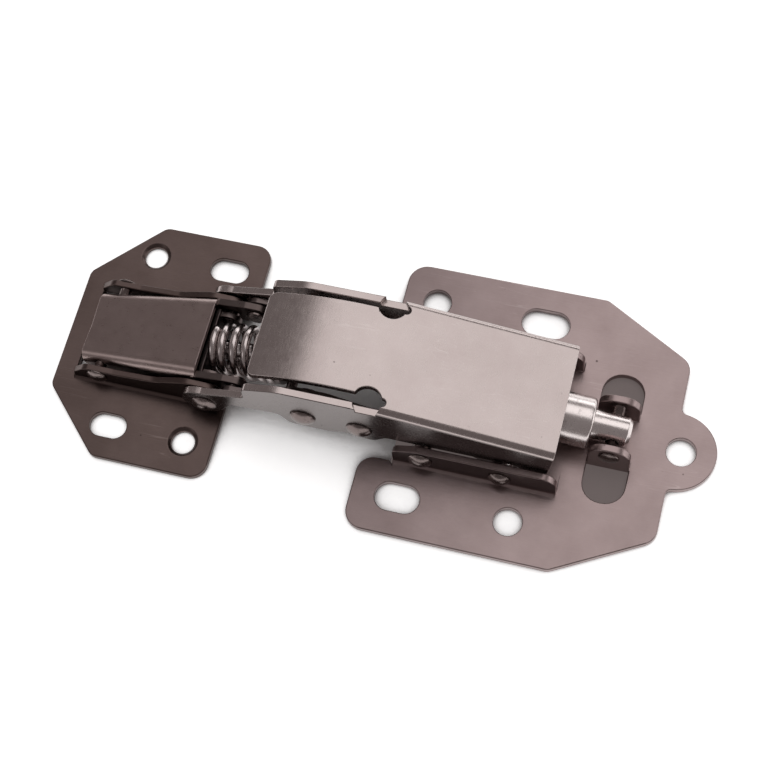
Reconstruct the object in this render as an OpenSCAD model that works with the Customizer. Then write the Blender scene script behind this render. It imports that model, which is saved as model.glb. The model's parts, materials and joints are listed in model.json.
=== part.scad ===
// Surface-mounted soft-close cabinet hinge, shown fully open, in millimetres.
// X runs along the hinge, Y across it, Z up; the undersides of both plates lie at z = 0.
// The origin is the centre of the screw hole in the cabinet plate's tongue.

/* [Cabinet plate] */
// Thickness of the cabinet plate's sheet
base_t = 1.5; // [1.4:0.05:1.6]
// Half width of the cabinet plate
base_half_w = 30; // [29:0.5:32]
// Diameter of its round screw holes
base_hole_d = 5.8; // [5:0.1:6.2]
// Diameter of the screw hole in the tongue
tongue_hole_d = 5.9; // [5:0.1:6.4]
// Height of the ears that carry the links
base_ear_z = 8.6; // [8.2:0.1:9.4]

/* [Door plate] */
// Thickness of the door plate's sheet
door_t = 1.4; // [1.3:0.05:1.5]
// Half width of the door plate
door_half_w = 27.2; // [26:0.2:29]
// Diameter of its round screw holes
door_hole_d = 4.9; // [4.4:0.1:5.4]

/* [Arm] */
// Outer width of the outer arm
arm_w = 25; // [24.9:0.05:25.1]
// Height of the arm's back at its free end
arm_back_z = 16; // [15.8:0.1:16.6]
// Slope of the arm's back in degrees
arm_slope = 8; // [7.8:0.1:8.4]
// Radius of the round relief holes beside the tongue
relief_r = 2.9; // [2.6:0.1:3.3]

/* [Spring] */
// Outer diameter of the coil
coil_d = 11.6; // [11:0.1:11.7]
// Diameter of its wire
wire_d = 1.8; // [1.5:0.1:1.9]
// Number of turns
coil_turns = 5.5; // [5:0.5:6]

/* [Damper] */
// Outer diameter of the damper's cylinder
damper_d = 10.4; // [9.6:0.1:10.6]
// Diameter of the piston rod
piston_rod_d = 2.6; // [2:0.1:3]

/* [Hidden] */
$fn = 72;

// Pivots of the linkage as [x, z] in the open position
link_base = [-50, 5.2];
arm_base = [-33.8, 4.4];
link_arm = [-74.4, 10.3];
arm_joint = [-62.7, 10];
door_joint = [-96.1, 6.3];
door_front = [-120.6, 4.3];
front_joint = [-90.1, 9];
damper_joint = [-13.6, 6.4];
// The support link carries the pins of the rod and of the spring's rear seat
rod_joint = link_base + [-3.6, 5.4];
spring_reach = 4.6;
spring_joint = link_arm + spring_reach * [cos(200), sin(200)];

// Layers across the hinge, as distances from its middle plane
arm_y = arm_w / 2;
wall_t = 1.6;
wall_y = arm_y - wall_t;
side_gap = 0.2;
link_t = 1.2;
front_t = 1.5;
support_t = 1.4;
seat_t = 1.2;
base_ear_in = arm_y + 2 * side_gap;
base_ear_out = base_ear_in + base_t;
inner_out = wall_y - side_gap;
inner_in = inner_out - link_t;
door_ear_out = inner_out;
door_ear_in = door_ear_out - door_t;
front_out = door_ear_in - side_gap;
front_in = front_out - front_t;
support_out = inner_in - side_gap;
support_in = support_out - support_t;
seat_out = front_in - 0.3;
seat_in = seat_out - seat_t;
tongue_y = inner_in - side_gap;

// Pins and the room round them
pin_r = 1.5;
small_pin_r = 1.1;
seat_pin_r = 1.6;
slim_pin_r = 1.3;
front_pin_r = 1.2;
head_r = 2.7;
head_h = 1.4;
sleeve_r = 2.2;
run = 0.05;
snug = 0.02;
// Play in the two pivots where the closed chain of links is opened
chain_play = 0.85;
bend_r = 0.8;
steps = 8;

// The damper and the spring each lie along a line between two pivots
damper_line = rod_joint - damper_joint;
damper_len = norm(damper_line);
damper_tilt = atan2(damper_line[1], -damper_line[0]);
spring_line = spring_joint - door_joint;
spring_len = norm(spring_line);
spring_tilt = atan2(spring_line[1], spring_line[0]);

// Stations along the spring's line, counted from the door pivot
seat_back = -2.2;
seat_face = -1;
rear_face = spring_len - 3.9;
rear_pad = spring_len - small_pin_r - 0.7;
rear_end = spring_len + 1.9;
guide_tail = -7;
guide_r = 2;

// Stations along the damper's line, counted from its pin in the lugs
plug_face = 4.6;
bore_back = 7;
bore_front = 23.6;
tube_front = 25.4;
tube_r = damper_d / 2;
bore_r = tube_r - 0.7;
piston_back = 20.4;
piston_front = 22.8;
eye_half = 3.3;

// The tongue of the arm is bent along a circle that its back touches
back_start = -23.3;
bend_start = -60;
back_len = (back_start - bend_start) / cos(arm_slope);
wall_run = 44;
tongue_len = 25.4;
tongue_r = 56;
bend_z = arm_back_z + (back_start - bend_start) * tan(arm_slope);
relief_x = -60.6;
relief_y = arm_y - 2.1;
relief_low = 18.8;
slit_end = -57.8;
slit_y = (tongue_y + wall_y) / 2;
slit_r = (wall_y - tongue_y) / 2 + 0.1;

function unit(v) = v / norm(v);

// Arc that rounds the corner q = [x, y, radius] between its neighbours p and s
function fillet(p, q, s) =
    let (o = [q[0], q[1]],
        u = unit([p[0], p[1]] - o),
        v = unit([s[0], s[1]] - o),
        half = acos(u * v) / 2,
        c = o + unit(u + v) * q[2] / sin(half),
        a = o + u * q[2] / tan(half) - c,
        b = o + v * q[2] / tan(half) - c,
        from = atan2(a[1], a[0]),
        turn = (atan2(b[1], b[0]) - from + 540) % 360 - 180)
    [for (i = [0 : steps]) c + q[2] * [cos(from + turn * i / steps), sin(from + turn * i / steps)]];

// Outline through corners [x, y, radius], where radius 0 keeps the corner sharp
function rounded(pts) =
    let (n = len(pts))
    [for (i = [0 : n - 1]) each pts[i][2] == 0 ? [[pts[i][0], pts[i][1]]] :
        fillet(pts[(i + n - 1) % n], pts[i], pts[(i + 1) % n])];

// A side outline in X and Z, made into a plate from y0 to y1
module slab(y0, y1) {
    translate([0, y1, 0]) rotate([90, 0, 0]) linear_extrude(y1 - y0) children();
}

// The same plate on both sides of the middle plane
module both_slabs(y0, y1) {
    slab(y0, y1) children();
    slab(-y1, -y0) children();
}

// A cylinder across the hinge at the pivot p
module cross_pin(p, r, y0, y1) {
    translate([p[0], y0, p[1]]) rotate([-90, 0, 0]) cylinder(r = r, h = y1 - y0);
}

module both_pins(p, r, y0, y1) {
    cross_pin(p, r, y0, y1);
    cross_pin(p, r, -y1, -y0);
}

// A domed head that stands out from y on the side given by its sign
module head(p, y, r, h) {
    ball = (r * r + h * h) / (2 * h);
    intersection() {
        translate([p[0], y > 0 ? y + h - ball : y - h + ball, p[1]]) sphere(r = ball);
        cross_pin(p, r, y > 0 ? y : y - h, y > 0 ? y + h : y);
    }
}

module both_heads(p, y, r, h) {
    head(p, y, r, h);
    head(p, -y, r, h);
}

// Rivets on both sides: a domed outer head, a shank and a flat inner head
module rivets(p, outer_r, outer, inner, inner_r, inner_h) {
    both_heads(p, outer, outer_r, head_h);
    both_pins(p, pin_r, inner - snug, outer);
    both_pins(p, inner_r, inner - inner_h, inner - snug);
}

// Rings that keep the parts on a rivet apart
module sleeves(p, y0, y1) {
    difference() {
        both_pins(p, sleeve_r, y0, y1);
        cross_pin(p, pin_r + snug, -y1 - 1, y1 + 1);
    }
}

module round_hole(x, y, d, t) {
    translate([x, y, -1]) cylinder(d = d, h = t + 2);
}

module slot_hole(x, y, len, d, t) {
    reach = (len - d) / 2;
    for (s = [-1, 1]) round_hole(x + s * reach, y, d, t);
    translate([x - reach, y - d / 2, -1]) cube([2 * reach, d, t + 2]);
}

// A bend along X that turns a flat sheet up into an ear
module bend(x0, x1, y_in, t) {
    y = y_in + t + bend_r;
    for (s = [-1, 1]) {
        difference() {
            intersection() {
                translate([x0, s * y, t + bend_r]) rotate([0, 90, 0])
                    cylinder(r = t + bend_r, h = x1 - x0);
                translate([x0, s > 0 ? y_in : -y, 0]) cube([x1 - x0, y - y_in, t + bend_r]);
            }
            translate([x0 - 1, s * y, t + bend_r]) rotate([0, 90, 0])
                cylinder(r = bend_r, h = x1 - x0 + 2);
        }
    }
}

base_left = -62.7;
base_right = -1.4;
ear_left = -55.9;
ear_right = -22.4;
gap_right = -25.4;
gap_y = base_ear_in + 1.6;
tongue_x = -1.2;
tongue_tip_r = 8.3;
root_r = 1.2;
hole_y = 22;

// Right half outline of the cabinet plate, from the gap round to the middle plane
function base_outline() = rounded([
    [gap_right, 0, 0], [gap_right, base_ear_in + base_t + bend_r, 0],
    [ear_left, base_ear_in + base_t + bend_r, 0], [ear_left - 0.6, gap_y, 0.4],
    [base_left, gap_y, 3.5], [base_left, base_half_w, 4], [-20.6, base_half_w, 2],
    [base_right, 19.4, 3.6], [base_right, 0, 0]]);

// The tongue and the small round corners at its root
module tongue_outline() {
    reach = tongue_tip_r + root_r;
    dx = base_right + root_r - tongue_x;
    yc = sqrt(reach * reach - dx * dx);
    translate([tongue_x, 0]) circle(r = tongue_tip_r);
    for (s = [-1, 1]) scale([1, s]) difference() {
        polygon([[base_right - 0.2, 0], [base_right - 0.2, yc], [base_right + root_r, yc],
            [tongue_x + dx * tongue_tip_r / reach, yc * tongue_tip_r / reach],
            [tongue_x + dx * tongue_tip_r / reach, 0]]);
        translate([base_right + root_r, yc]) circle(r = root_r);
    }
}

lug_y = 4.6;
lug_t = 1.5;
lug_w = 8.5;
lug_top = 9.4;
window_y = 14;

// A window in the plate: the lug beside it is the metal that was folded up out of it
module lug_window() {
    linear_extrude(base_t + 2, center = true) polygon(rounded([
        [damper_joint[0] - lug_w / 2, lug_y + lug_t, 0], [damper_joint[0] + lug_w / 2, lug_y + lug_t, 0],
        [damper_joint[0] + lug_w / 2, window_y, 4], [damper_joint[0] - lug_w / 2, window_y, 4]]));
}

module lug_shape() {
    difference() {
        polygon(rounded([[damper_joint[0] - lug_w / 2, 0.2, 0], [damper_joint[0] + lug_w / 2, 0.2, 0],
            [damper_joint[0] + lug_w / 2, lug_top, 3.6], [damper_joint[0] - lug_w / 2, lug_top, 3.6]]));
        translate(damper_joint) circle(r = small_pin_r + 0.2 + snug);
    }
}

module base_ear_shape() {
    difference() {
        polygon(rounded([[ear_right, base_t + bend_r - 0.1, 0], [ear_right, base_ear_z, 3.6],
            [ear_left + 5, base_ear_z, 3], [ear_left, 6.4, 2], [ear_left, base_t + bend_r - 0.1, 0]]));
        translate(link_base) circle(r = pin_r + snug);
        translate(arm_base) circle(r = pin_r + snug);
    }
}

module base_plate() {
    color([0.63, 0.57, 0.56]) {
        difference() {
            union() {
                for (s = [-1, 1]) scale([1, s, 1]) linear_extrude(base_t) polygon(base_outline());
                linear_extrude(base_t) tongue_outline();
            }
            round_hole(0, 0, tongue_hole_d, base_t);
            round_hole(-30.4, -hole_y, base_hole_d, base_t);
            round_hole(-55.4, hole_y, base_hole_d, base_t);
            slot_hole(-53.1, -hole_y, 9.2, 6, base_t);
            slot_hole(-32.2, hole_y, 10, 6, base_t);
            for (s = [-1, 1]) scale([1, s, 1]) lug_window();
        }
        bend(ear_left, ear_right, base_ear_in, base_t);
        both_slabs(base_ear_in, base_ear_out) base_ear_shape();
        both_slabs(lug_y, lug_y + lug_t) lug_shape();
    }
}

module base_link_rivets() {
    color([0.5, 0.46, 0.45]) rivets(link_base, 2.5, base_ear_out, support_in, 2.4, 0.8);
}

module base_link_sleeves() {
    color([0.85, 0.83, 0.82]) sleeves(link_base, support_out + run, base_ear_in);
}

module base_arm_rivets() {
    color([0.5, 0.46, 0.45]) rivets(arm_base, 2.3, base_ear_out, inner_in, 2.3, 0.7);
}

module base_arm_sleeves() {
    color([0.9, 0.88, 0.87]) sleeves(arm_base, inner_out + run, base_ear_in);
}

module damper_pin() {
    r = small_pin_r + 0.2;
    color([0.75, 0.72, 0.7]) {
        cross_pin(damper_joint, r, -lug_y - lug_t, lug_y + lug_t);
        both_heads(damper_joint, lug_y + lug_t, 2.1, 0.9);
    }
}

module inner_link_shape() {
    difference() {
        polygon(rounded([[-30.5, 0.8, 3], [-30.5, 7.3, 3], [-43, 11.8, 8], [-60, 13.3, 8],
            [-69, 13.9, 5], [-75.4, 13.3, 1.4], [-78.6, 11.4, 3], [-92.5, 11.4, 2.35],
            [-92.5, 6.6, 2.35], [-87, 6.8, 4], [-76.6, 8.3, 1], [-76.3, 11.8, 1.5],
            [-72.1, 11.8, 1.5], [-71.6, 7.2, 1.6], [-62.6, 6, 4], [-54.6, 7.8, 3],
            [-46, 7.8, 4], [-37.4, 0.8, 3]]));
        translate(arm_base) circle(r = pin_r + run);
        translate(arm_joint) circle(r = pin_r + run);
        translate(front_joint) circle(r = small_pin_r + snug);
    }
}

module inner_link_left() {
    color([0.4, 0.36, 0.35]) slab(-inner_out, -inner_in) inner_link_shape();
}

module inner_link_right() {
    color([0.4, 0.36, 0.35]) slab(inner_in, inner_out) inner_link_shape();
}

// The rivets between the inner links and the arm are flush on the inside
module arm_rivets() {
    color([0.6, 0.56, 0.54]) {
        both_heads(arm_joint, arm_y, head_r, head_h);
        both_pins(arm_joint, pin_r, inner_in, arm_y);
    }
}

// The rivets between the inner links and the front link are flush on the outside
module front_link_rivets() {
    color([0.7, 0.67, 0.65]) {
        both_pins(front_joint, small_pin_r, front_in - run, inner_out);
        both_pins(front_joint, 2.1, front_in - run - 0.6, front_in - run);
    }
}

module support_link_shape() {
    difference() {
        polygon(rounded([[-46.3, 1.4, 3.6], [-46.3, 8.6, 3], [-51.6, 13.1, 2.4], [-56.2, 12.8, 2.4],
            [-60.4, 10.6, 3], [-70, 14, 4], [-77.5, 14, 4], [-81, 10.8, 2.2],
            [-80.4, 6.2, 2.2], [-70.5, 5.6, 4], [-58, 3, 5], [-52.6, 1.4, 3]]));
        translate(link_base) circle(r = pin_r + run);
        translate(link_arm) circle(r = slim_pin_r + chain_play);
        translate(rod_joint) circle(r = small_pin_r + snug);
        translate(spring_joint) circle(r = small_pin_r + snug);
    }
}

module support_link_left() {
    color([0.45, 0.41, 0.4]) slab(-support_out, -support_in) support_link_shape();
}

module support_link_right() {
    color([0.45, 0.41, 0.4]) slab(support_in, support_out) support_link_shape();
}

module rod_pin() {
    color([0.7, 0.67, 0.65]) cross_pin(rod_joint, small_pin_r, -support_out, support_out);
}

module rear_spring_pin() {
    color([0.7, 0.67, 0.65]) cross_pin(spring_joint, small_pin_r, -support_out, support_out);
}

// Side outline of the arm: the walls, and above them room for the back
module arm_side() {
    polygon(rounded([[-22.9, 4.6, 2.6], [-23.7, 12, 0], [-22.9, 18, 0], [relief_x - 0.2, 24, 0],
        [relief_x - 0.8, 20.2, 0.8], [-79, 20.2, 12], [-86.3, 17.9, 1.6], [-86.5, 13.6, 1.2], [-96, 10.8, 2.5],
        [-100.7, 10.4, 4], [-100.7, 2.3, 4], [-93.6, 2.3, 3], [-90.1, 8.2, 2],
        [-79.6, 9, 2], [-77.8, 5.2, 3], [-69.6, 5.2, 2.5], [-66, 6.4, 2],
        [-60.2, 5, 2.5], [-57.4, 8, 1.5], [-30.6, 8, 1.2], [-29.6, 4.6, 2]]));
}

// Half section of the arm: flat back, round edge and wall
module arm_section() {
    edge = 1.7;
    polygon(concat([[-0.1, -wall_t], [-0.1, 0]],
        [for (i = [0 : steps]) [arm_y - edge + edge * sin(90 * i / steps),
            edge * cos(90 * i / steps) - edge]],
        [[arm_y, -24], [wall_y, -24], [wall_y, -wall_t]]));
}

module in_back_frame() {
    translate([bend_start, 0, bend_z]) rotate([0, arm_slope, 0]) children();
}

module tongue_ring(r) {
    translate([0, 0, -tongue_r]) rotate([90, 0, 0])
        cylinder(r = r, h = 2 * arm_w, center = true, $fn = 180);
}

// The tongue goes on where the flat back ends, between the walls
module arm_tongue() {
    intersection() {
        difference() {
            tongue_ring(tongue_r);
            tongue_ring(tongue_r - wall_t);
        }
        translate([0, 0, -12]) linear_extrude(16) polygon(rounded([[0, -tongue_y, 0], [0, tongue_y, 0],
            [-tongue_len, tongue_y, 1.6], [-tongue_len, -tongue_y, 1.6]]));
    }
}

// A round relief hole, and the slit that goes on from it for the inner link to swing up through
module arm_relief() {
    translate([relief_x, relief_y, relief_low]) cylinder(r = relief_r, h = 20);
    translate([slit_end, slit_y, relief_low]) cylinder(r = slit_r, h = 20);
    translate([relief_x, slit_y - slit_r, relief_low]) cube([slit_end - relief_x, 2 * slit_r, 20]);
}

module outer_arm() {
    color([0.76, 0.71, 0.7]) difference() {
        union() {
            intersection() {
                in_back_frame() difference() {
                    translate([-wall_run, 0, 0]) rotate([90, 0, 90]) linear_extrude(wall_run + back_len) {
                        arm_section();
                        scale([-1, 1]) arm_section();
                    }
                    translate([-wall_run - 1, -wall_y, -6]) cube([wall_run + 1, 2 * wall_y, 12]);
                }
                slab(-arm_w, arm_w) arm_side();
            }
            in_back_frame() arm_tongue();
        }
        for (s = [-1, 1]) scale([1, s, 1]) arm_relief();
        cross_pin(link_arm, slim_pin_r + snug, -20, 20);
        cross_pin(arm_joint, pin_r + snug, -20, 20);
        cross_pin(door_joint, seat_pin_r + snug, -20, 20);
    }
}

module support_rivets() {
    color([0.6, 0.56, 0.54]) {
        both_heads(link_arm, arm_y, head_r, head_h);
        both_pins(link_arm, slim_pin_r, support_in - run, arm_y);
        both_pins(link_arm, 2.5, support_in - run - 0.6, support_in - run);
    }
}

module door_rivets() {
    color([0.6, 0.56, 0.54]) {
        both_heads(door_joint, arm_y, head_r, head_h);
        both_pins(door_joint, seat_pin_r, seat_in, arm_y);
    }
}

door_left = -130.8;
door_right = -92.9;
door_gap_left = -126.4;
door_hole_y = 20;

function door_outline() =
    let (bend_y = door_ear_out + bend_r)
    rounded([[door_right, bend_y, 0], [door_right, door_half_w, 3.5],
        [-117.4, door_half_w, 2.5], [door_left, 13.6, 2.5], [door_left, 0, 0],
        [door_gap_left, 0, 0], [door_gap_left, bend_y, 0]]);

module door_ear_shape() {
    foot = door_t + bend_r - 0.1;
    difference() {
        polygon(rounded([[door_right, foot, 0], [door_right, 10, 3.5], [-100.5, 10, 6],
            [-107.5, 7, 6], [-117, 6.3, 5], [-123.4, 6.2, 2.4], [-126.2, 3.4, 1.2], [-126.2, foot, 0]]));
        translate(door_joint) circle(r = seat_pin_r + run);
        translate(door_front) circle(r = front_pin_r + snug);
    }
}

// A screw hole with its upper rim opened out
module eased_hole(x, y) {
    round_hole(x, y, door_hole_d, door_t);
    translate([x, y, door_t - 0.6]) cylinder(d1 = door_hole_d, d2 = door_hole_d + 1.4, h = 0.61);
}

module door_plate() {
    color([0.36, 0.32, 0.31]) {
        difference() {
            for (s = [-1, 1]) scale([1, s, 1]) linear_extrude(door_t) polygon(door_outline());
            eased_hole(-117.8, door_hole_y);
            eased_hole(-99.4, -door_hole_y);
            slot_hole(-115.9, -door_hole_y, 8, 5.2, door_t);
            slot_hole(-101, door_hole_y, 8.5, 5.2, door_t);
        }
        bend(door_gap_left, door_right, door_ear_in, door_t);
        both_slabs(door_ear_in, door_ear_out) door_ear_shape();
    }
}

// Short rivets between the ears and the ramp's walls, flush on the inside
module door_front_rivets() {
    inner = front_in - (ramp_right[0] - door_front[0]) * tan(ramp_toe) - run;
    color([0.5, 0.46, 0.45]) {
        both_pins(door_front, front_pin_r, inner, door_ear_out);
        both_heads(door_front, door_ear_out, 2.2, 1.1);
    }
}

ramp_right = [-98.4, 12.2];
ramp_tilt = 13.6;
ramp_len = 27.6;
ramp_toe = 2.3;

// Half section of the ramp: flat top, round edge and wall
module ramp_section() {
    edge = 2.4;
    polygon(concat([[-1, -front_t], [-1, 0]],
        [for (i = [0 : steps]) [front_out - edge + edge * sin(90 * i / steps),
            edge * cos(90 * i / steps) - edge]],
        [[front_out, -16], [front_in, -16], [front_in, -front_t]]));
}

// The ramp narrows a little towards its low end, so each half is turned inwards
module ramp_half() {
    translate([0, front_out, 0]) rotate([0, 0, ramp_toe]) translate([-ramp_len, -front_out, 0])
        rotate([90, 0, 90]) linear_extrude(ramp_len) ramp_section();
}

// The ramp's side view: its walls stop short of the door rivets
module ramp_side() {
    polygon(rounded([[-98.4, 8.9, 0], [-98.4, 14, 0], [-126, 7.5, 0], [-125.4, 2.4, 1],
        [-112, 2.3, 4], [-99.4, 3.6, 1.5], [-99.2, 8.9, 0.6]]));
}

// The walls go on past the door rivets to the rivets of the inner links
module front_end_side() {
    polygon(rounded([[-99.6, 8.9, 0], [-94.4, 8.9, 1.2], [-93.1, 6.1, 2.8], [-87.2, 6.1, 2.8],
        [-87.2, 11.9, 2.8], [-92.4, 11.8, 2], [-98.4, 10.9, 0.4], [-99.6, 9.7, 0]]));
}

module front_link() {
    color([0.36, 0.32, 0.31]) difference() {
        union() {
            intersection() {
                translate([ramp_right[0], 0, ramp_right[1]]) rotate([0, -ramp_tilt, 0]) {
                    ramp_half();
                    mirror([0, 1, 0]) ramp_half();
                }
                slab(-12, 12) ramp_side();
            }
            both_slabs(front_in, front_out) front_end_side();
        }
        both_pins(door_front, front_pin_r + run, 6, 9);
        cross_pin(front_joint, small_pin_r + chain_play, -12, 12);
    }
}

// Everything on the spring's line is drawn along X from the door pivot
module on_spring_line() {
    translate([door_joint[0], 0, door_joint[1]]) rotate([0, -spring_tilt, 0]) children();
}

module disc_x(x0, x1, r) {
    translate([x0, 0, 0]) rotate([0, 90, 0]) cylinder(r = r, h = x1 - x0);
}

module front_spring_seat() {
    color([0.55, 0.5, 0.49]) on_spring_line() difference() {
        union() {
            translate([seat_back, -seat_out, -4.4]) cube([seat_face - seat_back, 2 * seat_out, 8]);
            both_slabs(seat_in, seat_out) polygon(rounded([[seat_back, -2.6, 0], [2.6, -2.6, 2.5],
                [2.6, 2.6, 2.5], [seat_back, 2.6, 0]]));
        }
        both_pins([0, 0], seat_pin_r + run, seat_in - 0.3, seat_out + 1);
        disc_x(seat_back - 1, seat_face + 1, guide_r + run);
    }
}

// The rear seat is a disc with a fork that holds the pin loosely
module rear_spring_seat() {
    fork_low = 2.1;
    fork_high = 3.4;
    tine = 0.8;
    color([0.55, 0.5, 0.49]) on_spring_line() difference() {
        union() {
            disc_x(rear_face, rear_face + 1.2, coil_d / 2 - 0.3);
            translate([rear_face + 1, -3.6, -fork_low - tine])
                cube([rear_pad - rear_face - 1, 7.2, fork_low + fork_high + 2 * tine]);
            translate([rear_pad - 0.1, -3.6, fork_high]) cube([rear_end - rear_pad, 7.2, tine]);
            translate([rear_pad - 0.1, -3.6, -fork_low - tine]) cube([rear_end - rear_pad, 7.2, tine]);
        }
        disc_x(rear_face - 1, rear_pad + 1, guide_r);
    }
}

module spring_guide_rod() {
    color([0.8, 0.78, 0.77]) on_spring_line() disc_x(guide_tail, rear_pad, guide_r);
}

// The coil: a round wire swept along a helix whose end turns are closed
coil_rings = 18;
wire_sides = 8;
coil_r = coil_d / 2 - wire_d / 2;
coil_span = rear_face - seat_face - wire_d;
closed_pitch = wire_d * 1.02;
open_pitch = (coil_span - 2 * closed_pitch) / (coil_turns - 2);

function coil_x(turn) = seat_face + wire_d / 2 +
    (turn < 1 ? closed_pitch * turn :
    turn > coil_turns - 1 ? coil_span - closed_pitch * (coil_turns - turn) :
    closed_pitch + open_pitch * (turn - 1));

function coil_point(i, j) =
    let (turn = i / coil_rings, a = 360 * turn + 60, b = 360 * j / wire_sides,
        r = coil_r + wire_d / 2 * cos(b))
    [coil_x(turn) + wire_d / 2 * sin(b), r * cos(a), r * sin(a)];

module spring() {
    n = coil_turns * coil_rings;
    points = [for (i = [0 : n]) for (j = [0 : wire_sides - 1]) coil_point(i, j)];
    sides = [for (i = [0 : n - 1]) for (j = [0 : wire_sides - 1])
        let (k = (j + 1) % wire_sides)
        [i * wire_sides + j, (i + 1) * wire_sides + j, (i + 1) * wire_sides + k, i * wire_sides + k]];
    start = [for (j = [0 : wire_sides - 1]) j];
    finish = [for (j = [wire_sides - 1 : -1 : 0]) n * wire_sides + j];
    color([0.82, 0.79, 0.78]) on_spring_line() polyhedron(points, concat(sides, [start, finish]));
}

// Everything on the damper's line is drawn along X, with the lugs' pin at 0 and the rod at -X
module on_damper_line() {
    translate([damper_joint[0], 0, damper_joint[1]]) rotate([0, damper_tilt, 0]) children();
}

// A turned part: its outline gives [distance along the line, radius]
module turned(pts) {
    rotate([0, -90, 0]) rotate_extrude() polygon([for (p = pts) [p[1], p[0]]]);
}

module damper_cylinder() {
    color([0.88, 0.86, 0.85]) on_damper_line() turned(concat(
        [[bore_back - 0.4, 0.01 + bore_r - 1.2], [plug_face, bore_r - 1.2]],
        [for (i = [0 : steps]) [plug_face + 1.2 - 1.2 * cos(90 * i / steps),
            tube_r - 1.2 + 1.2 * sin(90 * i / steps)]],
        [[tube_front, tube_r], [tube_front, bore_r], [bore_back - 0.4, bore_r]]));
}

// The plug closes the cylinder's back and ends in a round neck that the lugs' pin holds
module damper_end_plug() {
    neck_r = bore_r - 1.4;
    neck_end = -3.2;
    color([0.82, 0.8, 0.79]) on_damper_line() difference() {
        turned([[neck_end, 0], [neck_end, neck_r - 0.8], [neck_end + 0.8, neck_r], [plug_face - 1, neck_r],
            [bore_back - 0.4, bore_r - 1.2 - snug], [bore_back - 0.4, bore_r - snug],
            [bore_back + 1.2, bore_r - snug], [bore_back + 1.2, 0]]);
        cross_pin([0, 0], small_pin_r + 0.2 + run, -neck_r - 1, neck_r + 1);
    }
}

module rod_seal() {
    color([0.2, 0.19, 0.19]) on_damper_line() turned([[bore_front, piston_rod_d / 2 + run],
        [bore_front, bore_r - snug], [tube_front - 0.3, bore_r - snug],
        [tube_front - 0.3, piston_rod_d / 2 + run]]);
}

module piston() {
    color([0.3, 0.29, 0.29]) on_damper_line() turned([[piston_back, piston_rod_d / 2 + snug],
        [piston_back, bore_r - 0.1], [piston_front, bore_r - 0.1],
        [piston_front, piston_rod_d / 2 + snug]]);
}

// The rod's eye has an upright slot, because its pin swings on an arc
module piston_rod() {
    slot_w = small_pin_r + 0.45;
    slot_rise = 2.2;
    color([0.85, 0.83, 0.82]) on_damper_line() difference() {
        union() {
            turned([[piston_back - 0.4, 0], [piston_back - 0.4, piston_rod_d / 2],
                [damper_len - eye_half + 0.2, piston_rod_d / 2], [damper_len - eye_half + 0.2, 0]]);
            slab(-2.2, 2.2) polygon(rounded([[-damper_len - 2.8, -2.7, 2], [-damper_len + eye_half, -2.7, 1.5],
                [-damper_len + eye_half, slot_rise + 2.7, 2], [-damper_len - 2.8, slot_rise + 2.7, 2]]));
        }
        for (z = [-0.1, slot_rise]) cross_pin([-damper_len, z], slot_w, -4, 4);
        translate([-damper_len - slot_w, -4, -0.1]) cube([2 * slot_w, 8, slot_rise + 0.1]);
    }
}

base_plate();
base_link_rivets();
base_link_sleeves();
base_arm_rivets();
base_arm_sleeves();
damper_pin();
inner_link_left();
inner_link_right();
arm_rivets();
front_link_rivets();
support_link_left();
support_link_right();
rod_pin();
rear_spring_pin();
outer_arm();
support_rivets();
door_rivets();
door_plate();
door_front_rivets();
front_link();
front_spring_seat();
rear_spring_seat();
spring_guide_rod();
spring();
damper_cylinder();
damper_end_plug();
rod_seal();
piston();
piston_rod();
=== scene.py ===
import json
import math
import bmesh
import bpy
import numpy as np
from mathutils import Matrix, Vector
from mathutils.bvhtree import BVHTree


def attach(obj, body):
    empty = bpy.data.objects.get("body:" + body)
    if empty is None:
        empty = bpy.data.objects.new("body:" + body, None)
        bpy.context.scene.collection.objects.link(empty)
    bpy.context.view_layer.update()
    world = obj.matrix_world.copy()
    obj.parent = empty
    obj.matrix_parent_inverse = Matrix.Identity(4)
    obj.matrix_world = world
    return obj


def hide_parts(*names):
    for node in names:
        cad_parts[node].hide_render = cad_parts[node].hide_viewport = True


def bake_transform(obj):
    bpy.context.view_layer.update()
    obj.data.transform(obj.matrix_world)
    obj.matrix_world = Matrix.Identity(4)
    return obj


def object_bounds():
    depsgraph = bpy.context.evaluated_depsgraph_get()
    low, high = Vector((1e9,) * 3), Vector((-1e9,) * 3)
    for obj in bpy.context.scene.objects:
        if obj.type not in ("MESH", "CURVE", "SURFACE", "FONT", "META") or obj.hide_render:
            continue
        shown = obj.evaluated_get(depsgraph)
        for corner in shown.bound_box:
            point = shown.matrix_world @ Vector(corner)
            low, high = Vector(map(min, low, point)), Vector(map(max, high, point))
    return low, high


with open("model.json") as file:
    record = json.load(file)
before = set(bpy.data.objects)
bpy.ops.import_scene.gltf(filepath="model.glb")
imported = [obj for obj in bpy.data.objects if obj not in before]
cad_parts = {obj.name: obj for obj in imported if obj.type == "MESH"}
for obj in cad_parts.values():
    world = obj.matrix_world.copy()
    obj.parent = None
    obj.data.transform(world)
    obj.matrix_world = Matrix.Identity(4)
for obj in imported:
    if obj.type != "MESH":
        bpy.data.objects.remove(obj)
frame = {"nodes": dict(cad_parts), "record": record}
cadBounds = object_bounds()
nodes = frame["nodes"]
record = frame["record"]
bodyOf = {n: b for b, names in record["behaviour"]["bodies"].items() for n in names}
slotOf = {s["node"]: s["material_slot"] for s in record["subparts"]}
mm = 0.001
print("frame loaded:", len(nodes), "nodes")


cameraSettings = {
    "place": (-5.41, -121.27, 309.41),   # mm
    "azimuth": 27.7, "elevation": 66.92, "roll": -13.95,
    "lens": 76.37, "sensor": 36, "shift": (0.0372, 0.0329), "clip": (0.01, 20),
}


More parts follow.
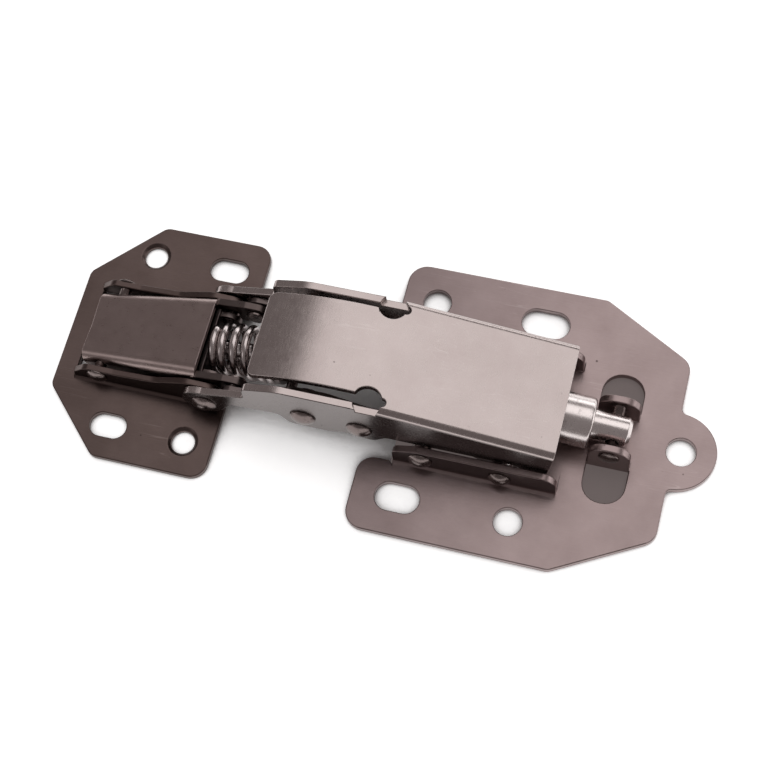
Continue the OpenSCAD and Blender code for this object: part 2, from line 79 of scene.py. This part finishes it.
def makeCamera(s):
    az, el, ro = (math.radians(s[k]) for k in ("azimuth", "elevation", "roll"))
    back = Vector((math.sin(az) * math.cos(el), -math.cos(az) * math.cos(el), math.sin(el)))
    side = Vector((math.cos(az), math.sin(az), 0))
    up = back.cross(side)
    right = side * math.cos(ro) + up * math.sin(ro)
    top = up * math.cos(ro) - side * math.sin(ro)
    cam = bpy.data.objects.new("camera", bpy.data.cameras.new("camera"))
    cam.data.lens, cam.data.sensor_width = s["lens"], s["sensor"]
    cam.data.shift_x, cam.data.shift_y = s["shift"]
    cam.data.clip_start, cam.data.clip_end = s["clip"]
    turn = Matrix((right, top, back)).transposed().to_4x4()
    cam.matrix_world = Matrix.Translation(Vector(s["place"]) * mm) @ turn
    bpy.context.scene.collection.objects.link(cam)
    bpy.context.scene.camera = cam


# Each lamp: where it stands and its size in metres, how bright its face is, and its tint
lampSettings = {
    "overhead": {"at": (-0.005, 0.32, 0.82), "size": (1.03, 0.66), "glow": 1.0,
                 "tint": (1, 0.985, 0.98)},
    "behind": {"at": (-0.02, 0.95, 0.30), "size": (1.3, 0.34), "glow": 1.5, "tint": (1, 1, 1)},
    "right": {"at": (0.85, 0.22, 0.26), "size": (0.6, 0.36), "glow": 1.5, "tint": (1, 1, 1)},
    "left": {"at": (-0.80, -0.52, 0.62), "size": (0.36, 0.36), "glow": 0.8, "tint": (1, 0.99, 0.985)},
}
lookAt = Vector((-0.066, 0, 0.008))
worldSettings = {"color": (0.21, 0.19, 0.188), "strength": 1.0}
floorSettings = {
    "color": (0.9, 0.9, 0.9), "rough": 0.9, "lift": 0.74, "half": 12.0, "below": 0.00002,
    "samples": 8, "reach": 0.05, "openAt": (0.35, 0.62),   # how far and how strongly corners darken
    "shade": (0.12, 0.10, 0.097), "glimmer": 0.85,
    "shadeLeft": -0.0565, "shadeRight": -0.003, "shadeHalf": 0.0148,
}


def makeLamps(settings):
    for name, s in settings.items():
        lamp = bpy.data.lights.new(name, "AREA")
        lamp.shape, lamp.size, lamp.size_y = "RECTANGLE", *s["size"]
        lamp.energy = s["glow"] * math.pi * s["size"][0] * s["size"][1]
        lamp.color = s["tint"]
        obj = bpy.data.objects.new(name, lamp)
        obj.location = s["at"]
        aim = lookAt - Vector(s["at"])
        obj.rotation_euler = aim.to_track_quat("-Z", "Y").to_euler()
        bpy.context.scene.collection.objects.link(obj)


class Value:
    # A socket that takes part in Python sums; each operator adds one Math node
    def __init__(self, paint, socket):
        self.paint, self.socket = paint, socket

    def maths(self, operation, a, b=0.0, clamp=False):
        settings = {"operation": operation, "use_clamp": clamp}
        return self.paint.node("ShaderNodeMath", settings, {0: a, 1: b})

    def __add__(self, other):
        return self.maths("ADD", self, other)

    def __radd__(self, other):
        return self.maths("ADD", other, self)

    def __sub__(self, other):
        return self.maths("SUBTRACT", self, other)

    def __rsub__(self, other):
        return self.maths("SUBTRACT", other, self)

    def __mul__(self, other):
        return self.maths("MULTIPLY", self, other)

    def __rmul__(self, other):
        return self.maths("MULTIPLY", other, self)

    def __truediv__(self, other):
        return self.maths("DIVIDE", self, other)

    def __abs__(self):
        return self.maths("ABSOLUTE", self)

    def above(self, level):
        return self.maths("GREATER_THAN", self, level)

    def clipped(self):
        return self.maths("ADD", self, 0.0, clamp=True)

    def ramp(self, low, high):
        # 0 at low, 1 at high, straight between and held outside
        return ((self - low) / (high - low)).clipped()

    def out(self, name):
        return Value(self.paint, self.socket.node.outputs[name])


class Paint:
    def __init__(self, name):
        self.material = bpy.data.materials.new(name)
        self.material.use_nodes = True
        self.tree = self.material.node_tree
        self.tree.nodes.clear()

    def node(self, kind, settings=None, sockets=None):
        made = self.tree.nodes.new(kind)
        for key, value in (settings or {}).items():
            setattr(made, key, value)
        for key, value in (sockets or {}).items():
            if isinstance(value, Value):
                self.tree.links.new(value.socket, made.inputs[key])
            else:
                made.inputs[key].default_value = value
        return Value(self, made.outputs[0]) if made.outputs else None

    def place(self):
        return self.node("ShaderNodeTexCoord").out("Object")

    def stretched(self, where, scale, turn):
        return self.node("ShaderNodeMapping", {}, {
            "Vector": where, "Scale": scale, "Rotation": (0, 0, turn)})

    def noise(self, where, scale, detail, rough=0.5):
        return self.node("ShaderNodeTexNoise", {}, {
            "Vector": where, "Scale": scale, "Detail": detail, "Roughness": rough}).out("Fac")

    def mix(self, factor, a, b):
        # A colour Mix node has its factor in input 0, its colours in 6 and 7, its result in output 2
        made = self.node("ShaderNodeMix", {"data_type": "RGBA"}, {0: factor, 6: a, 7: b})
        return Value(self, made.socket.node.outputs[2])

    def bump(self, height, strength, distance):
        return self.node("ShaderNodeBump", {}, {
            "Height": height, "Strength": strength, "Distance": distance})

    def surface(self, sockets):
        return self.finish(self.node("ShaderNodeBsdfPrincipled", {}, sockets))

    def finish(self, shader):
        self.node("ShaderNodeOutputMaterial", {}, {"Surface": shader})
        return self.material


def rgba(c, dim=1.0):
    return (c[0] * dim, c[1] * dim, c[2] * dim, 1.0)


# Plated sheet: cloudy tone, fine rolling grain along one way, hair scratches, small dark specks.
# wall: from which |y| and height the outer faces of walls and ears get painted shade, and how dark it
# is;
# dull: between which two x a painted shade darkens the sheet along the hinge, and by how much
sheetSettings = {
    "cabinetPlate": {
        "light": (0.42, 0.335, 0.33), "dark": (0.28, 0.215, 0.21), "worn": (0.62, 0.54, 0.53),
        "rough": 0.34, "grain": (420, 3200, 3200), "turn": 0.15, "relief": 0.4,
        "scratch": 0.3, "speck": 0.85, "wall": (0.0142, 0.0024, 0.5), "paintedShadeX": (-0.022, -0.066, 0.4),
    },
    # Painted shade: the same plating as the cabinet plate, with its colours set about three times darker
    # to stand in for the dim light the door plate reflects
    "shadedDoorPlate": {
        "light": (0.145, 0.108, 0.10), "dark": (0.09, 0.064, 0.058), "worn": (0.34, 0.28, 0.26),
        "rough": 0.34, "grain": (420, 3200, 3200), "turn": -0.1, "relief": 0.4,
        "scratch": 0.25, "speck": 0.6, "wall": (0.0105, 0.0023, 0.2),
    },
    "arm": {
        "light": (0.55, 0.485, 0.47), "dark": (0.44, 0.375, 0.362), "worn": (0.70, 0.65, 0.63),
        "rough": 0.25, "grain": (2600, 500, 2600), "turn": 0.0, "relief": 0.28,
        "scratch": 0.25, "speck": 0.6, "wall": (0.0123, 0, 0.68),
    },
    "ramp": {
        "light": (0.43, 0.345, 0.33), "dark": (0.34, 0.265, 0.25), "worn": (0.66, 0.58, 0.56),
        "rough": 0.31, "grain": (500, 3600, 3600), "turn": 0.05, "relief": 0.4,
        "scratch": 0.25, "speck": 0.4, "wall": (0.0089, 0, 0.1), "paintedShadeX": (-0.0986, -0.0980, 0.8),
    },
    # Painted shade: the links' colours are set dark because they sit inside the hinge, where little
    # light reaches them
    "link": {
        "light": (0.20, 0.165, 0.16), "dark": (0.11, 0.085, 0.08), "worn": (0.42, 0.36, 0.34),
        "rough": 0.33, "grain": (500, 3000, 3000), "turn": 0.3, "relief": 0.35,
        "scratch": 0.3, "speck": 0.5, "wall": (0.0091, 0, 0.1),
    },
}
# What all sheet shares: each noise as scale, detail and roughness, each mask as the two levels
# between which it sets in, and each set of hairs as stretch, turn and half width
sheetPattern = {
    "cloud": (90, 4, 0.6), "patch": (420, 3, 0.55), "grain": (1.0, 3, 0.6),
    "rare": (55, 2), "rareAt": (0.5, 0.66), "few": (160, 1), "fewAt": (0.48, 0.53),
    "cells": 210.0, "speckAt": (0.062, 0.035), "toneAt": (0.15, 0.85),
    "hairs": (((22, 640, 640), 0.7, 0.006), ((20, 560, 560), -0.95, 0.005)),
    "wallEdge": (0.0001, 0.0002), "speckDim": 0.45, "wallDim": 0.1, "depth": 0.00004,
}


def platedSheet(name, s):
    p, common = Paint(name), sheetPattern
    here = p.place()
    cloud = p.noise(here, *common["cloud"])
    patch = p.noise(here, *common["patch"])
    grain = p.noise(p.stretched(here, s["grain"], s["turn"]), *common["grain"])
    # Level lines of a stretched noise are long thin curves, kept only where a slow noise is high
    first, second = (abs(p.noise(p.stretched(here, stretch, turn), 1.0, 1) - 0.5).ramp(half, 0.0)
                     for stretch, turn, half in common["hairs"])
    rare = p.noise(here, *common["rare"]).ramp(*common["rareAt"])
    scratch = ((first + second) * rare * s["scratch"]).clipped()
    cells = p.node("ShaderNodeTexVoronoi", {"feature": "F1"}, {"Vector": here, "Scale": common["cells"]})
    few = p.noise(here, *common["few"]).ramp(*common["fewAt"])
    speck = (cells.out("Distance").ramp(*common["speckAt"]) * few * s["speck"]).clipped()
    tone = (cloud * 0.85 + patch * 0.3 + grain * 0.35 - 0.25).ramp(*common["toneAt"])
    color = p.mix(tone, rgba(s["dark"]), rgba(s["light"]))
    color = p.mix(scratch, color, rgba(s["worn"]))
    color = p.mix(speck, color, rgba(s["dark"], common["speckDim"]))
    # Painted shade: the outer faces of walls and ears are darkened to stand in for the dim light they
    # get
    spot = p.node("ShaderNodeSeparateXYZ", {}, {"Vector": here})
    out, foot, most = s["wall"]
    acrossEdge, upEdge = common["wallEdge"]
    wall = abs(spot.out("Y")).ramp(out, out + acrossEdge) * spot.out("Z").ramp(foot, foot + upEdge)
    color = p.mix(wall * most, color, rgba(s["dark"], common["wallDim"]))
    # Painted shade: between two x the colour darkens along the hinge, standing in for the shade that the
    # links and arm cast there
    if "paintedShadeX" in s:
        bright, paintedShadeX, most = s["paintedShadeX"]
        paintedShadeAmount = spot.out("X").ramp(bright, paintedShadeX) * most
        color = p.mix(paintedShadeAmount, color, rgba(s["dark"], common["wallDim"]))
    rough = s["rough"] + (patch - 0.5) * 0.12 + (grain - 0.5) * 0.16 - scratch * 0.08 + speck * 0.2
    height = grain * 0.5 + patch * 0.5 - scratch * 0.8 - speck * 0.8
    return p.surface({"Base Color": color, "Metallic": 1.0, "Roughness": rough,
                      "Normal": p.bump(height, s["relief"], common["depth"])})


# Bright plating: an almost mirror surface with a little haze and a few stains
brightSettings = {
    "rivet": {"light": (0.26, 0.215, 0.205), "dark": (0.15, 0.12, 0.115),
              "rough": 0.24, "haze": 0.16, "relief": 0.25},
    "brightSteel": {"light": (0.86, 0.82, 0.81), "dark": (0.70, 0.64, 0.63),
                    "rough": 0.17, "haze": 0.1, "relief": 0.12},
    "damper": {"light": (0.86, 0.80, 0.785), "dark": (0.72, 0.65, 0.635),
               "rough": 0.25, "haze": 0.1, "relief": 0.08},
    "spring": {"light": (0.66, 0.60, 0.59), "dark": (0.48, 0.42, 0.41),
               "rough": 0.2, "haze": 0.14, "relief": 0.2},
}
brightPattern = {
    "cloud": (380, 4, 0.6), "fine": (2600, 2, 0.5), "stain": (900, 3, 0.6), "stainAt": (0.56, 0.72),
    "stainDim": 0.6, "depth": 0.00003,
}


def brightPlating(name, s):
    p, common = Paint(name), brightPattern
    here = p.place()
    cloud = p.noise(here, *common["cloud"])
    fine = p.noise(here, *common["fine"])
    stain = p.noise(here, *common["stain"]).ramp(*common["stainAt"])
    color = p.mix((cloud * 1.3 - 0.15).clipped(), rgba(s["dark"]), rgba(s["light"]))
    color = p.mix(stain * 0.35, color, rgba(s["dark"], common["stainDim"]))
    rough = s["rough"] + (cloud - 0.5) * s["haze"] + stain * 0.12 + (fine - 0.5) * 0.05
    bump = p.bump(fine * 0.6 + cloud * 0.4, s["relief"], common["depth"])
    return p.surface({"Base Color": color, "Metallic": 1.0, "Roughness": rough, "Normal": bump})


plainSettings = {
    "seal": {"light": (0.045, 0.043, 0.043), "dark": (0.022, 0.021, 0.021), "rough": 0.62},
    "piston": {"light": (0.10, 0.10, 0.10), "dark": (0.06, 0.06, 0.06), "rough": 0.45},
}
plainPattern = {"cloud": (700, 4, 0.6), "fine": (4200, 2, 0.5), "relief": 0.4, "depth": 0.00004}


def mouldedPlastic(name, s):
    p, common = Paint(name), plainPattern
    here = p.place()
    cloud = p.noise(here, *common["cloud"])
    fine = p.noise(here, *common["fine"])
    return p.surface({
        "Base Color": p.mix(cloud, rgba(s["dark"]), rgba(s["light"])),
        "Roughness": s["rough"] + (cloud - 0.5) * 0.2,
        "Normal": p.bump(fine, common["relief"], common["depth"])})


finishes = {
    "cabinet_plate": platedSheet("cabinetPlate", sheetSettings["cabinetPlate"]),
    "door_plate": platedSheet("shadedDoorPlate", sheetSettings["shadedDoorPlate"]),
    "arm": platedSheet("arm", sheetSettings["arm"]),
    "link": platedSheet("link", sheetSettings["link"]),
    "rivet": brightPlating("rivet", brightSettings["rivet"]),
    "bright_steel": brightPlating("brightSteel", brightSettings["brightSteel"]),
    "spring": brightPlating("springWire", brightSettings["spring"]),
    "damper": brightPlating("damperPlating", brightSettings["damper"]),
    "seal": mouldedPlastic("seal", plainSettings["seal"]),
    "piston": mouldedPlastic("piston", plainSettings["piston"]),
}
rampFinish = platedSheet("ramp", sheetSettings["ramp"])
print("finishes made")


# Width of the rounded edges in mm
edgeSettings = {
    "base_plate": 0.22, "door_plate": 0.22, "outer_arm": 0.16, "front_link": 0.14,
    "inner_link_left": 0.12, "inner_link_right": 0.12,
    "support_link_left": 0.12, "support_link_right": 0.12,
    "front_spring_seat": 0.12, "rear_spring_seat": 0.12, "damper_end_plug": 0.15, "piston_rod": 0.12,
}
# What counts as one point and as no edge (metres), as flat and as sharp (degrees), how fine the
# edges are, and how far a rounded point may lie outside the sheet (metres) or in it (share of width)
edgeRules = {
    "join": 2e-6, "speck": 1e-6, "flat": 0.6, "sharp": 32, "segments": 2, "evenness": 100,
    "outside": 4e-6, "inside": 0.5,
}


def keepOnSheet(obj, bevel, width):
    # Applies the bevel. It overshoots where two cuts lie closer than its width, so a point that comes
    # outside the sheet, or lies deeper in it than a rounded edge can, goes back to the sheet's face
    sheet = obj.data
    name = sheet.name
    faces = BVHTree.FromPolygons([v.co for v in sheet.vertices], [f.vertices for f in sheet.polygons])
    state = bpy.context.evaluated_depsgraph_get()
    mesh = bpy.data.meshes.new_from_object(
        obj.evaluated_get(state), preserve_all_data_layers=True, depsgraph=state)
    moved = 0
    for v in mesh.vertices:
        spot, facing, _, gap = faces.find_nearest(v.co)
        outside = gap > edgeRules["outside"] and (v.co - spot).dot(facing) > 0
        if outside or gap > edgeRules["inside"] * width:
            v.co, moved = spot, moved + 1
    obj.modifiers.remove(bevel)
    obj.data = mesh
    bpy.data.meshes.remove(sheet)
    mesh.name = name
    print(name, "points put back:", moved)


def roundedCopy(node, width, finish):
    mesh = nodes[node].data.copy()
    mesh.name = node + "_dressed"
    b = bmesh.new()
    b.from_mesh(mesh)
    bmesh.ops.remove_doubles(b, verts=b.verts, dist=edgeRules["join"])
    bmesh.ops.dissolve_degenerate(b, dist=edgeRules["speck"], edges=b.edges)
    flat, sharp = math.radians(edgeRules["flat"]), math.radians(edgeRules["sharp"])
    bmesh.ops.dissolve_limit(b, angle_limit=flat, verts=b.verts, edges=b.edges)
    for f in b.faces:
        f.smooth = True
    b.to_mesh(mesh)
    b.free()
    if "custom_normal" in mesh.attributes:
        mesh.attributes.remove(mesh.attributes["custom_normal"])
    mesh.set_sharp_from_angle(angle=sharp)
    mesh.materials.clear()
    mesh.materials.append(finish)
    obj = bpy.data.objects.new(mesh.name, mesh)
    bpy.context.scene.collection.objects.link(obj)
    bevel = obj.modifiers.new("edges", "BEVEL")
    bevel.width, bevel.segments = width * mm, edgeRules["segments"]
    bevel.limit_method, bevel.angle_limit = "ANGLE", sharp
    bevel.harden_normals = True
    bevel.use_clamp_overlap = False
    keepOnSheet(obj, bevel, width * mm)
    flats = obj.modifiers.new("flats", "WEIGHTED_NORMAL")
    flats.keep_sharp, flats.weight = True, edgeRules["evenness"]
    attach(obj, bodyOf[node])
    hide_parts(node)


for node, width in edgeSettings.items():
    finish = rampFinish if node == "front_link" else finishes[slotOf[node]]
    roundedCopy(node, width, finish)
print("stamped pieces dressed:", len(edgeSettings))


poleJoin = 1e-7   # metres within which the points of a pole meet


def meshFromGrids(name, grids):
    # Quads between neighbours of each grid of points [along, round]. Every grid closes round; a ring
    # closes along too, caps fill the two ends, and poles are ends whose points all meet
    points, faces, start = [], [], 0
    for grid, ends in grids:
        n, m = grid.shape[:2]
        i = np.arange(n if ends == "ring" else n - 1)[:, None]
        j = np.arange(m)[None, :]
        i2, j2 = (i + 1) % n, (j + 1) % m
        quads = np.stack([i * m + j, i * m + j2, i2 * m + j2, i2 * m + j], -1).reshape(-1, 4) + start
        faces += quads.tolist()
        if ends == "caps":
            faces.append(list(range(start + m - 1, start - 1, -1)))
            faces.append(list(range(start + (n - 1) * m, start + n * m)))
        points.append(grid.reshape(-1, 3))
        start += n * m
    mesh = bpy.data.meshes.new(name)
    mesh.from_pydata((np.concatenate(points) * mm).tolist(), [], faces)
    b = bmesh.new()
    b.from_mesh(mesh)
    bmesh.ops.remove_doubles(b, verts=b.verts, dist=poleJoin)
    bmesh.ops.recalc_face_normals(b, faces=b.faces)
    b.to_mesh(mesh)
    b.free()
    mesh.shade_smooth()
    return mesh


# A corner's parabola: the longest share of a side that it takes, how far past its ends the two
# extra points stand, below which ease it is a fine one, and its points when fine and when not
cornerSettings = {"share": 0.45, "past": 1.1, "fine": 0.3, "fineSteps": 3, "steps": 9}


def eased(corners, closed=False):
    # A profile of (station, radius, ease): each corner becomes a short parabola between two points
    # p and q set back by its ease, (1-t)^2 p + 2t(1-t) corner + t^2 q, with one more point beyond
    # each so that flats shade flat
    k = cornerSettings
    c = np.array([q[:2] for q in corners], float)
    out = []
    for n, corner in enumerate(corners):
        ease = corner[2] if len(corner) > 2 else 0
        if ease == 0 or (not closed and n in (0, len(corners) - 1)):
            out.append(c[n])
            continue
        back, ahead = c[n - 1] - c[n], c[(n + 1) % len(c)] - c[n]
        reach = min(ease, k["share"] * np.hypot(*back), k["share"] * np.hypot(*ahead))
        p, q = (c[n] + v / np.hypot(*v) * reach for v in (back, ahead))
        t = np.linspace(0, 1, k["fineSteps"] if ease < k["fine"] else k["steps"])[:, None]
        out.append(c[n] + (p - c[n]) * k["past"])
        out.extend((1 - t) ** 2 * p + 2 * t * (1 - t) * c[n] + t ** 2 * q)
        out.append(c[n] + (q - c[n]) * k["past"])
    return np.array(out)


def turnedGrid(origin, along, profile, sides):
    # The profile turned round the line through origin:
    # origin + station * along + radius * (cos a * first + sin a * second)
    along = np.array(along, float) / np.linalg.norm(along)
    first = np.cross(along, (0, 0, 1.0) if abs(along[2]) < 0.9 else (1.0, 0, 0))
    first /= np.linalg.norm(first)
    second = np.cross(along, first)
    a = np.linspace(0, 2 * np.pi, sides, endpoint=False)
    out = np.cos(a)[:, None] * first + np.sin(a)[:, None] * second
    return np.array(origin) + profile[:, :1, None] * along + profile[:, 1:, None] * out[None]


def dressed(mesh, node):
    mesh.materials.append(finishes[slotOf[node]])
    obj = bpy.data.objects.new(mesh.name, mesh)
    bpy.context.scene.collection.objects.link(obj)
    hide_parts(node)
    return obj


# Axes of the pins and rivets in the open position, x and z in mm
pivots = {
    "linkBase": (-50, 5.2), "armBase": (-33.8, 4.4), "armInner": (-62.7, 10),
    "armSupport": (-74.4, 10.3), "armDoor": (-96.1, 6.3), "doorRamp": (-120.6, 4.3),
    "rampInner": (-90.1, 9), "damper": (-13.6, 6.4), "rod": (-53.6, 10.6),
    "springTail": (-78.7226, 8.7267),
}


def axisOf(pivot):
    x, z = pivots[pivot]
    return (x, 0, z)


# Rivets: the formed head's seat, radius and height, the shank's radius, where it ends, and the
# radius and height of its foot, all in mm
rivetSettings = {
    "base_link_rivets": {
        "at": "linkBase", "head": (14.4, 2.5, 1.4), "shank": 1.5, "end": 7.88, "foot": (2.4, 0.78)},
    "base_arm_rivets": {
        "at": "armBase", "head": (14.4, 2.3, 1.4), "shank": 1.5, "end": 9.48, "foot": (2.3, 0.68)},
    "arm_rivets": {"at": "armInner", "head": (12.5, 2.7, 1.4), "shank": 1.5, "end": 9.5},
    "support_rivets": {
        "at": "armSupport", "head": (12.5, 2.7, 1.4), "shank": 1.3, "end": 7.85, "foot": (2.5, 0.6)},
    "door_rivets": {"at": "armDoor", "head": (12.5, 2.7, 1.4), "shank": 1.6, "end": 6.1},
    "door_front_rivets": {"at": "doorRamp", "head": (10.7, 2.2, 1.1), "shank": 1.2, "end": 6.66},
    "front_link_rivets": {
        "at": "rampInner", "head": (10.58, 1.1, 0.12), "shank": 1.1, "end": 7.55, "foot": (2.1, 0.6)},
}
headSettings = {"rim": 0.3, "rimShare": 0.4, "rimEase": 0.2, "capSteps": 9, "ease": 0.12, "sides": 48}


def formedHead(seat, radius, height):
    # A low cap, part of a ball through the rim's edge and the top, on a short upright rim
    rim = min(headSettings["rim"], headSettings["rimShare"] * height)
    rise = height - rim
    ball = (radius ** 2 + rise ** 2) / (2 * rise)
    a = np.linspace(0, math.asin(min(1, radius / ball)), headSettings["capSteps"])
    cap = [(seat + height - ball + ball * math.cos(v), ball * math.sin(v)) for v in a]
    return cap[:-1] + [(seat + rim, radius, headSettings["rimEase"]), (seat, radius)]


def rivetPair(node, s):
    shank, end, ease = s["shank"], s["end"], headSettings["ease"]
    profile = formedHead(*s["head"]) + [(s["head"][0], shank)]
    if "foot" in s:
        radius, height = s["foot"]
        profile += [(end, shank), (end, radius, ease), (end - height, radius, ease), (end - height, 0)]
    else:
        profile += [(end, shank, ease), (end, 0)]
    line = eased(profile)
    grids = [(turnedGrid(axisOf(s["at"]), (0, side, 0), line, headSettings["sides"]), "poles")
             for side in (1, -1)]
    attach(dressed(meshFromGrids(node + "_formed", grids), node), bodyOf[node])


for node, s in rivetSettings.items():
    rivetPair(node, s)
print("rivets formed:", len(rivetSettings))


def plainPin(half, radius):
    return [(half, 0), (half, radius, 0.15), (-half, radius, 0.15), (-half, 0)]


def tube(start, end, bore, radius, ease):
    # A closed ring's profile, with its outer corners eased more than those of its bore
    return [(start, bore, 0.1), (start, radius, ease), (end, radius, ease), (end, bore, 0.1)]


# Other turned pieces: the pivot that the line runs from and its direction, the profile of
# (station, radius, ease) in mm, whether the profile is a closed ring, and whether it is mirrored
across = (0, 1, 0)
damperLine = {"at": "damper", "along": (-0.99456, 0, 0.10443)}
springLine = {"at": "armDoor", "along": (0.99039, 0, 0.1383)}
pinHead = formedHead(6.1, 2.1, 0.9)
turnedSettings = {
    "damper_pin": {"at": "damper", "along": across, "profile":
                   pinHead + [(6.1, 1.3), (-6.1, 1.3)] + [(-q[0], *q[1:]) for q in pinHead[::-1]]},
    "rod_pin": {"at": "rod", "along": across, "profile": plainPin(9.3, 1.1)},
    "rear_spring_pin": {"at": "springTail", "along": across, "profile": plainPin(9.3, 1.1)},
    "base_link_sleeves": {"at": "linkBase", "along": across, "ring": True, "mirrored": True,
                          "profile": tube(9.35, 12.9, 1.52, 2.2, 0.15)},
    "base_arm_sleeves": {"at": "armBase", "along": across, "ring": True, "mirrored": True,
                         "profile": tube(10.75, 12.9, 1.52, 2.2, 0.15)},
    "damper_cylinder": {**damperLine, "ring": True, "profile": [
        (6.6, 3.31), (4.6, 3.3, 0.1), (4.6, 5.2, 1.2),
        (25.4, 5.2, 0.2), (25.4, 4.5, 0.1), (6.6, 4.5, 0.1)]},
    "rod_seal": {**damperLine, "ring": True, "profile": tube(23.6, 25.1, 1.35, 4.48, 0.1)},
    "piston": {**damperLine, "ring": True, "profile": tube(20.4, 22.8, 1.32, 4.4, 0.2)},
    "spring_guide_rod": {**springLine, "profile": [
        (-7, 0), (-7, 2, 0.3), (15.746, 2, 0.3), (15.746, 0)]},
}
turnedSides = 64


def turnedPiece(node, s):
    line = eased(s["profile"], s.get("ring", False))
    ways = (1, -1) if s.get("mirrored") else (1,)
    ends = "ring" if s.get("ring") else "poles"
    grids = [(turnedGrid(axisOf(s["at"]), way * np.array(s["along"]), line, turnedSides), ends)
             for way in ways]
    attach(dressed(meshFromGrids(node + "_turned", grids), node), bodyOf[node])


for node, s in turnedSettings.items():
    turnedPiece(node, s)
print("turned pieces made:", len(turnedSettings))


coilSettings = {
    "from": "armDoor", "to": "springTail",   # the pivots whose line it lies on
    "start": -1.0, "finish": 3.9,            # gaps from the two pivots in mm
    "outer": 11.6, "wire": 1.8, "turns": 5.5, "endPitch": 1.02, "firstAngle": 60,
    "perTurn": 64, "round": 20,
}


def coilSpring(s):
    # Centre line: (along, radius * cos a, radius * sin a), a helix whose pitch is one wire in the
    # end turns; the wire is a circle square to the centre line, carried along it
    pivot, tail = np.array(pivots[s["from"]]), np.array(pivots[s["to"]])
    length = np.hypot(*(tail - pivot))
    ux, uz = (tail - pivot) / length
    start, finish, wire, turns = s["start"], s["finish"], s["wire"], s["turns"]
    span = length - finish - start - wire
    closed = wire * s["endPitch"]
    pitch = (span - 2 * closed) / (turns - 2)
    t = np.linspace(0, turns, int(turns * s["perTurn"]) + 1)
    along = start + wire / 2 + np.interp(
        t, [0, 1, turns - 1, turns], [0, closed, closed + pitch * (turns - 2), span])
    a = 2 * np.pi * t + math.radians(s["firstAngle"])
    radius = (s["outer"] - wire) / 2
    centre = np.stack([along, radius * np.cos(a), radius * np.sin(a)], -1)
    tangent = np.gradient(centre, axis=0)
    tangent /= np.linalg.norm(tangent, axis=1)[:, None]
    outward = np.stack([0 * a, np.cos(a), np.sin(a)], -1)
    other = np.cross(tangent, outward)
    b = np.linspace(0, 2 * np.pi, s["round"], endpoint=False)
    ring = outward[:, None] * np.cos(b)[None, :, None] + other[:, None] * np.sin(b)[None, :, None]
    p = centre[:, None] + ring * wire / 2
    x = pivot[0] + p[..., 0] * ux - p[..., 2] * uz
    z = pivot[1] + p[..., 0] * uz + p[..., 2] * ux
    mesh = meshFromGrids("coil_spring", [(np.stack([x, p[..., 1], z], -1), "caps")])
    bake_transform(dressed(mesh, "spring"))


coilSpring(coilSettings)
print("spring coiled")


def makeFloor(s):
    mesh = bpy.data.meshes.new("floor")
    h = s["half"]
    low = cadBounds[0][2] - s["below"]
    mesh.from_pydata([(-h, -h, low), (h, -h, low), (h, h, low), (-h, h, low)], [], [(0, 1, 2, 3)])
    floor = bpy.data.objects.new("floor", mesh)
    bpy.context.scene.collection.objects.link(floor)
    p = Paint("floor")
    path = p.node("ShaderNodeLightPath")
    seen = path.out("Is Camera Ray") + path.out("Is Glossy Ray") + path.out("Is Transmission Ray")
    # Under and close to the object little light gets in, so the white fades there
    openness = p.node("ShaderNodeAmbientOcclusion", {"samples": s["samples"]}, {"Distance": s["reach"]})
    white = openness.out("AO").ramp(*s["openAt"]) * s["lift"]
    # The strip of floor under the cabinet plate's ears and lugs lies in the hinge's own shade
    here = p.node("ShaderNodeSeparateXYZ", {}, {"Vector": p.place()})
    x, y = here.out("X"), abs(here.out("Y"))
    lit = 1 - x.above(s["shadeLeft"]) * (1 - x.above(s["shadeRight"])) * (1 - y.above(s["shadeHalf"]))
    mesh.materials.append(p.surface({
        "Base Color": p.mix(lit, rgba(s["shade"]), rgba(s["color"])),
        "Roughness": s["rough"], "Specular IOR Level": 0.0,
        "Emission Color": p.mix(lit, rgba(s["shade"]), (1, 1, 1, 1)),
        "Emission Strength": seen.clipped() * (lit * white + (1 - lit) * s["glimmer"])}))


def makeWorld(s):
    world = bpy.data.worlds.new("studio")
    world.use_nodes = True
    shade = world.node_tree.nodes["Background"]
    shade.inputs["Color"].default_value = rgba(s["color"])
    shade.inputs["Strength"].default_value = s["strength"]
    bpy.context.scene.world = world


makeFloor(floorSettings)
makeWorld(worldSettings)
makeLamps(lampSettings)
makeCamera(cameraSettings)
bpy.context.scene.view_settings.view_transform = "Standard"


print("scene ready")
